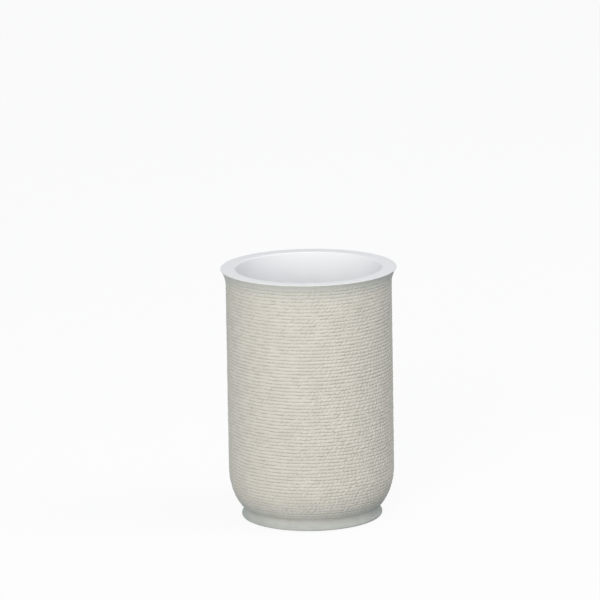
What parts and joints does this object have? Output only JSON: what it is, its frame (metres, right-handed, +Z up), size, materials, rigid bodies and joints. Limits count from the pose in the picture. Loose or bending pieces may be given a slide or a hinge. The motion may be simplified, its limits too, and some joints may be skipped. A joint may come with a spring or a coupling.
{
  "type": "bathroom tumbler",
  "caption": "Round bathroom tumbler: a sand-coloured sleeve with wound-cord relief, flared rim and low foot, holding a white cup that lifts out for cleaning.",
  "frame": {"origin": "centre of the pad's underside, on the surface that the tumbler stands on", "axes": "+Z up along the tumbler's axis; the tumbler is round, so +Y is simply taken as the way the picture looks and +X as its right"},
  "size_m": [0.076, 0.076, 0.11],
  "materials": {
    "sleeve_sand": "matte sand-coloured moulding with a moulded-in wound-cord relief",
    "cup_white": "smooth satin white",
    "pad_foam": "fine-celled dark grey foam rubber",
    "tape_film": "double-sided adhesive film"
  },
  "bodies": {
    "sleeve": {"outer_sleeve": "sleeve_sand", "base_pad": "pad_foam", "pad_tape": "tape_film"},
    "cup": {"inner_cup": "cup_white"}
  },
  "joints": [
    {"name": "cup_lift", "type": "slide", "parent": "sleeve", "child": "cup", "axis": [0, 0, 1], "range_m": [0, 0.108]}
  ]
}
